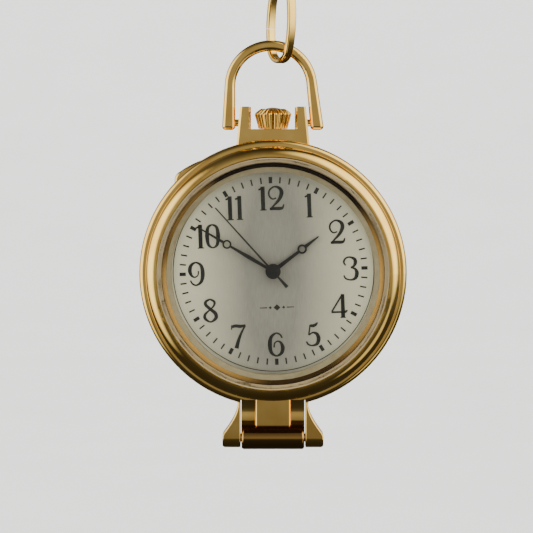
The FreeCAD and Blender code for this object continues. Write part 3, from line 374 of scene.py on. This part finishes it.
class Ink:
    """Gathers flat printed shapes and makes one mesh piece of them."""

    def __init__(self, name):
        self.name = name
        self.bm = bmesh.new()

    def place(self, x, z, depth):
        c, s = math.cos(PRINT_TURN), math.sin(PRINT_TURN)
        return self.bm.verts.new((
            DIAL.x + (PRINT_SHIFT + x * c - z * s) * MM,
            DIAL.y - depth * MM,
            DIAL.z + (x * s + z * c) * MM,
        ))

    def outline(self, points):
        """A filled convex shape with (x, z) corners."""
        front = [self.place(x, z, INK_DEPTH) for x, z in points]
        back = [self.place(x, z, 0) for x, z in points]
        self.bm.faces.new(front)
        self.bm.faces.new(back[::-1])
        for i in range(len(points)):
            j = (i + 1) % len(points)
            self.bm.faces.new((front[i], back[i], back[j], front[j]))

    def stroke(self, points):
        """A pen stroke through (x, z, width) points."""
        left, right = strip_sides(smooth_path(points))
        rows = [
            [self.place(*point, depth) for point in pair for depth in (INK_DEPTH, 0)]
            for pair in zip(left, right)
        ]
        for (a, b, c, d), (e, f, g, h) in zip(rows, rows[1:]):
            for quad in ((a, c, g, e), (b, f, h, d), (a, e, f, b), (c, d, h, g)):
                self.bm.faces.new(quad)
        a, b, c, d = rows[0]
        self.bm.faces.new((a, b, d, c))
        a, b, c, d = rows[-1]
        self.bm.faces.new((a, c, d, b))

    def finish(self):
        bmesh.ops.recalc_face_normals(self.bm, faces=self.bm.faces)
        mesh = bpy.data.meshes.new(self.name)
        self.bm.to_mesh(mesh)
        self.bm.free()
        piece = bpy.data.objects.new(self.name, mesh)
        bpy.context.scene.collection.objects.link(piece)
        mesh.materials.append(MATERIALS["black_hand"])
        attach(piece, "case")


# Figures one unit high: the width of each, and its strokes as (x, z, width)
FIGURES = {
    "0": (0.62, [
        [(0.31, 0.985, 0.055), (0.13, 0.86, 0.11), (0.08, 0.5, 0.155), (0.13, 0.14, 0.11),
         (0.31, 0.015, 0.055), (0.49, 0.14, 0.11), (0.54, 0.5, 0.155), (0.49, 0.86, 0.11),
         (0.31, 0.985, 0.055)],
    ]),
    "1": (0.34, [
        [(0.2, 0.995, 0.155), (0.2, 0.0, 0.155)],
        [(0.2, 0.97, 0.06), (0.12, 0.9, 0.07), (0.02, 0.86, 0.05)],
        [(0.07, 0.015, 0.03), (0.34, 0.015, 0.03)],
    ]),
    "2": (0.68, [
        [(0.36, 0.5, 0.045), (0.19, 0.465, 0.05), (0.06, 0.62, 0.06), (0.09, 0.84, 0.06), (0.3, 0.975, 0.06),
         (0.52, 0.89, 0.12), (0.585, 0.7, 0.155), (0.48, 0.44, 0.12), (0.26, 0.2, 0.07), (0.09, 0.03, 0.05)],
        [(0.07, 0.045, 0.09), (0.3, 0.06, 0.12), (0.52, 0.055, 0.12), (0.62, 0.1, 0.08), (0.67, 0.23, 0.03)],
    ]),
    "3": (0.66, [
        [(0.12, 0.63, 0.045), (0.045, 0.78, 0.07), (0.13, 0.93, 0.06), (0.3, 0.975, 0.06), (0.49, 0.89, 0.12),
         (0.53, 0.75, 0.145), (0.46, 0.6, 0.09), (0.33, 0.54, 0.05)],
        [(0.33, 0.54, 0.05), (0.51, 0.47, 0.09), (0.58, 0.29, 0.155), (0.51, 0.09, 0.12), (0.32, 0.02, 0.06),
         (0.11, 0.08, 0.06), (0.03, 0.22, 0.05)],
    ]),
    "4": (0.7, [
        [(0.49, 0.98, 0.06), (0.03, 0.27, 0.06)],
        [(0.01, 0.245, 0.07), (0.5, 0.245, 0.07), (0.61, 0.255, 0.1), (0.69, 0.32, 0.03)],
        [(0.5, 0.995, 0.14), (0.5, 0.0, 0.155)],
        [(0.38, 0.015, 0.03), (0.62, 0.015, 0.03)],
    ]),
    "5": (0.62, [
        [(0.2, 0.86, 0.1), (0.33, 0.85, 0.12), (0.44, 0.9, 0.1), (0.52, 0.985, 0.03)],
        [(0.2, 0.89, 0.05), (0.13, 0.46, 0.05)],
        [(0.13, 0.46, 0.045), (0.3, 0.56, 0.06), (0.47, 0.5, 0.12), (0.54, 0.3, 0.155), (0.47, 0.09, 0.12),
         (0.28, 0.02, 0.06), (0.1, 0.07, 0.06), (0.03, 0.2, 0.05)],
    ]),
    "6": (0.7, [
        [(0.61, 0.77, 0.05), (0.52, 0.92, 0.06), (0.35, 0.975, 0.06), (0.15, 0.82, 0.12), (0.085, 0.5, 0.16),
         (0.14, 0.17, 0.12), (0.35, 0.025, 0.06), (0.56, 0.14, 0.12), (0.62, 0.37, 0.15), (0.55, 0.57, 0.09),
         (0.42, 0.64, 0.05), (0.29, 0.56, 0.045), (0.26, 0.38, 0.05)],
    ]),
    "7": (0.62, [
        [(0.03, 0.92, 0.1), (0.2, 0.955, 0.12), (0.4, 0.93, 0.12), (0.61, 0.97, 0.07)],
        [(0.03, 0.99, 0.035), (0.02, 0.8, 0.035)],
        [(0.6, 0.96, 0.05), (0.44, 0.68, 0.08), (0.3, 0.35, 0.12), (0.2, 0.01, 0.165)],
    ]),
    "8": (0.64, [
        [(0.31, 0.975, 0.06), (0.14, 0.88, 0.1), (0.13, 0.74, 0.12), (0.32, 0.55, 0.12), (0.52, 0.37, 0.14),
         (0.53, 0.17, 0.13), (0.31, 0.02, 0.06), (0.09, 0.16, 0.11), (0.09, 0.34, 0.1), (0.29, 0.53, 0.05),
         (0.46, 0.69, 0.07), (0.49, 0.86, 0.09), (0.31, 0.975, 0.06)],
    ]),
}
SIX_WIDTH, SIX_STROKES = FIGURES["6"]
FIGURES["9"] = (SIX_WIDTH, [[(SIX_WIDTH - x, 1 - z, w) for x, z, w in stroke] for stroke in SIX_STROKES])
FIGURE_GAP = 0.06
INK_SPREAD = 0.015
FIGURE_HEIGHT = 3.4
FIGURE_RADIUS = 10.6
# Hours whose figures stand a little nearer or further out
FIGURE_RADII = {12: 10.4, 3: 11.0, 6: 10.5, 9: 11.0}

MARK_INNER_R = 12.5
MARK_OUTER_R = 13.4
MARK_WIDTH = 0.22
HOUR_MARK_WIDTH = 0.5
# A thin dark ring round the dial's edge: a painted shadow at the foot of the cream ring's wall
EDGE_SHADOW_LINE_R = 14.3
EDGE_SHADOW_LINE_WIDTH = 0.12

EMBLEM_X = 0.3
EMBLEM_Z = -5.2
# Offset, half width and half height of each lozenge
LOZENGES = ((0, 0.5, 0.45), (-0.95, 0.24, 0.22), (0.95, 0.24, 0.22))
# The two ends of a rule: offset and width
RULE_ENDS = ((1.4, 0.17), (2.45, 0.12))


def on_ring(radius, degrees, width):
    """A stroke's point on a ring about the dial's centre, clockwise from twelve o'clock."""
    angle = math.radians(degrees)
    return radius * math.sin(angle), radius * math.cos(angle), width


def print_numerals():
    """The hours 1 to 12, all upright."""
    ink = Ink("dial_numerals")
    for hour in range(1, 13):
        digits = str(hour)
        total = sum(FIGURES[d][0] for d in digits) + FIGURE_GAP * (len(digits) - 1)
        centre_x, centre_z, _ = on_ring(FIGURE_RADII.get(hour, FIGURE_RADIUS), hour * 30, 0)
        left = centre_x - total * FIGURE_HEIGHT / 2
        foot = centre_z - FIGURE_HEIGHT / 2
        for digit in digits:
            width, strokes = FIGURES[digit]
            for points in strokes:
                ink.stroke([
                    (left + x * FIGURE_HEIGHT, foot + z * FIGURE_HEIGHT, (w + INK_SPREAD) * FIGURE_HEIGHT)
                    for x, z, w in points
                ])
            left += (width + FIGURE_GAP) * FIGURE_HEIGHT
    ink.finish()


def print_minute_track():
    """Sixty marks, broader at the hours, and a fine dark line round the edge that is a painted shadow at the
    foot of the ring's wall.
    """
    ink = Ink("dial_minute_track")
    for minute in range(60):
        width = MARK_WIDTH if minute % 5 else HOUR_MARK_WIDTH
        ink.stroke([on_ring(r, minute * 6, width) for r in (MARK_INNER_R, MARK_OUTER_R)])
    # Painted shadow: the thin dark ring where the cream ring's wall meets the dial
    ink.stroke([on_ring(EDGE_SHADOW_LINE_R, degrees, EDGE_SHADOW_LINE_WIDTH) for degrees in range(0, 361, 9)])
    ink.finish()


def print_emblem():
    """A lozenge between two small ones and two fine rules, below the centre."""
    ink = Ink("dial_emblem")
    for offset, half_width, half_height in LOZENGES:
        x = EMBLEM_X + offset
        ink.outline([
            (x - half_width, EMBLEM_Z), (x, EMBLEM_Z - half_height),
            (x + half_width, EMBLEM_Z), (x, EMBLEM_Z + half_height),
        ])
    for side in (-1, 1):
        ink.stroke([(EMBLEM_X + side * offset, EMBLEM_Z, width) for offset, width in RULE_ENDS])
    ink.finish()


print_numerals()
print_minute_track()
print_emblem()


# Stage, in metres: a pale bowl, soft lights and the camera

FLOOR_Z = CASE.z - 0.076
BOWL_R = 0.35
BOWL_BEND = 1.3
BOWL_TOP = 2.6
BOWL_SIDES = 96
BEND_STEPS = 32


def make_backdrop():
    """The floor runs out flat and curves up into a wall all round."""
    section = [(0.15, 0.0), (BOWL_R, 0.0)]
    for i in range(1, BEND_STEPS + 1):
        bend = math.radians(90) * i / BEND_STEPS
        section.append((BOWL_R + BOWL_BEND * math.sin(bend), BOWL_BEND * (1 - math.cos(bend))))
    section.append((BOWL_R + BOWL_BEND, BOWL_TOP))
    turns = [math.tau * i / BOWL_SIDES for i in range(BOWL_SIDES)]
    bm = bmesh.new()
    middle = bm.verts.new((CASE.x, 0, FLOOR_Z))
    rings = [
        [bm.verts.new((CASE.x + r * math.cos(t), r * math.sin(t), FLOOR_Z + z)) for t in turns]
        for r, z in section
    ]
    for i in range(BOWL_SIDES):
        bm.faces.new((middle, rings[0][i], rings[0][(i + 1) % BOWL_SIDES]))
    for inner, outer in zip(rings, rings[1:]):
        for i in range(BOWL_SIDES):
            j = (i + 1) % BOWL_SIDES
            bm.faces.new((inner[i], outer[i], outer[j], inner[j]))
    mesh = bpy.data.meshes.new("studio_floor")
    bm.to_mesh(mesh)
    bm.free()
    mesh.shade_smooth()
    floor = bpy.data.objects.new("studio_floor", mesh)
    bpy.context.scene.collection.objects.link(floor)
    s = Shader("studio_paper")
    s.link(s.ramp(s.noise(30, 4.0), (0.3, 0.56), (0.7, 0.59)), s.bsdf.inputs["Base Color"])
    s.set(Roughness=0.9, Emission_Color=(1.0, 1.0, 1.0, 1), Emission_Strength=0.3)
    mesh.materials.append(s.material)
    floor.visible_glossy = False


def soft_light(name, offset, size, power, colour=(1, 1, 1)):
    """A lamp aimed at the case. It lights the matte parts: what the metal mirrors is the surround."""
    lamp = bpy.data.lights.new(name, "AREA")
    lamp.shape = "RECTANGLE"
    lamp.size, lamp.size_y = size
    lamp.energy = power
    lamp.color = colour
    light = bpy.data.objects.new(name, lamp)
    bpy.context.scene.collection.objects.link(light)
    light.location = CASE + Vector(offset)
    light.rotation_euler = (CASE - light.location).to_track_quat("-Z", "Y").to_euler()
    light.visible_camera = False
    light.visible_glossy = False


# What polished metal mirrors, from straight below at 0 to straight above at 1: (height, radiance)
SKY_LEVELS = ((0.0, 0.03), (0.3, 0.05), (0.42, 0.12), (0.465, 0.38), (0.56, 0.42), (0.74, 0.25), (1.0, 0.04))
SKY_TINT = (1.0, 0.97, 0.88)
WINDOW_TINT = (1.0, 0.98, 0.8)
# Broad soft windows: direction, cosine where each begins and where it is full, radiance
SKY_WINDOWS = (
    ((0.8, -0.46, 0.52), 0.64, 0.92, 2.5),
    ((-0.92, -0.38, 0.12), 0.66, 0.94, 2.3),
    ((0.62, -0.62, -0.48), 0.94, 0.985, 0.8),
)


def sky():
    """A dim surround that is lighter ahead and above, with a soft window at each side."""
    world = bpy.data.worlds.new("studio_surround")
    bpy.context.scene.world = world
    world.use_nodes = True
    tree = world.node_tree
    background = tree.nodes["Background"]
    direction = tree.nodes.new("ShaderNodeTexCoord").outputs["Generated"]
    height = tree.nodes.new("ShaderNodeSeparateXYZ")
    tree.links.new(direction, height.inputs["Vector"])
    rescale = tree.nodes.new("ShaderNodeMath")
    rescale.operation = "MULTIPLY_ADD"
    rescale.inputs[1].default_value = 0.5
    rescale.inputs[2].default_value = 0.5
    tree.links.new(height.outputs["Z"], rescale.inputs[0])
    ramp = tree.nodes.new("ShaderNodeValToRGB")
    tree.links.new(rescale.outputs["Value"], ramp.inputs["Fac"])
    fill_ramp(ramp, [(position, tuple(value * c for c in SKY_TINT)) for position, value in SKY_LEVELS])
    total = ramp.outputs["Color"]
    for aim, begins, full, radiance in SKY_WINDOWS:
        toward = tree.nodes.new("ShaderNodeVectorMath")
        toward.operation = "DOT_PRODUCT"
        tree.links.new(direction, toward.inputs[0])
        toward.inputs[1].default_value = Vector(aim).normalized()
        fade = tree.nodes.new("ShaderNodeMapRange")
        fade.interpolation_type = "SMOOTHSTEP"
        fade.inputs["From Min"].default_value = begins
        fade.inputs["From Max"].default_value = full
        fade.inputs["To Max"].default_value = 1.0
        tree.links.new(toward.outputs["Value"], fade.inputs["Value"])
        add = tree.nodes.new("ShaderNodeVectorMath")
        add.operation = "MULTIPLY_ADD"
        tree.links.new(fade.outputs["Result"], add.inputs[0])
        add.inputs[1].default_value = Vector(WINDOW_TINT) * radiance
        tree.links.new(total, add.inputs[2])
        total = add.outputs["Vector"]
    tree.links.new(total, background.inputs["Color"])


CAMERA_AIM_MM = (-0.93, -1.0, 0.91)
CAMERA_TILT = math.radians(3.0)
CAMERA_DISTANCE = 0.32
HALF_FIELD_MM = 38.07


def make_camera():
    """Nearly level, in front of the dial. Half the picture's width shows HALF_FIELD_MM at the aim."""
    target = CASE + Vector(CAMERA_AIM_MM) * MM
    data = bpy.data.cameras.new("camera")
    data.sensor_width = 36.0
    data.lens = data.sensor_width / 2 * CAMERA_DISTANCE / (HALF_FIELD_MM * MM)
    data.clip_start = 0.01
    data.clip_end = 20
    camera = bpy.data.objects.new("camera", data)
    bpy.context.scene.collection.objects.link(camera)
    camera.location = target + Vector((0, -math.cos(CAMERA_TILT), math.sin(CAMERA_TILT))) * CAMERA_DISTANCE
    camera.rotation_euler = (target - camera.location).to_track_quat("-Z", "Y").to_euler()
    bpy.context.scene.camera = camera


make_backdrop()
sky()
WARM_LIGHT = (1.0, 0.96, 0.84)
soft_light("window_left", (-0.55, -0.32, 0.2), (0.3, 0.5), 2.0, WARM_LIGHT)
soft_light("window_right", (0.55, -0.3, 0.16), (0.28, 0.42), 2.0, WARM_LIGHT)
soft_light("overhead", (0, 0.1, 0.9), (1.2, 1.2), 20.0)
soft_light("front_fill", (0, -0.64, 0.62), (0.7, 0.35), 1.7)
soft_light("rear_fill", (0, 0.9, 0.4), (0.9, 0.7), 5.0)
make_camera()
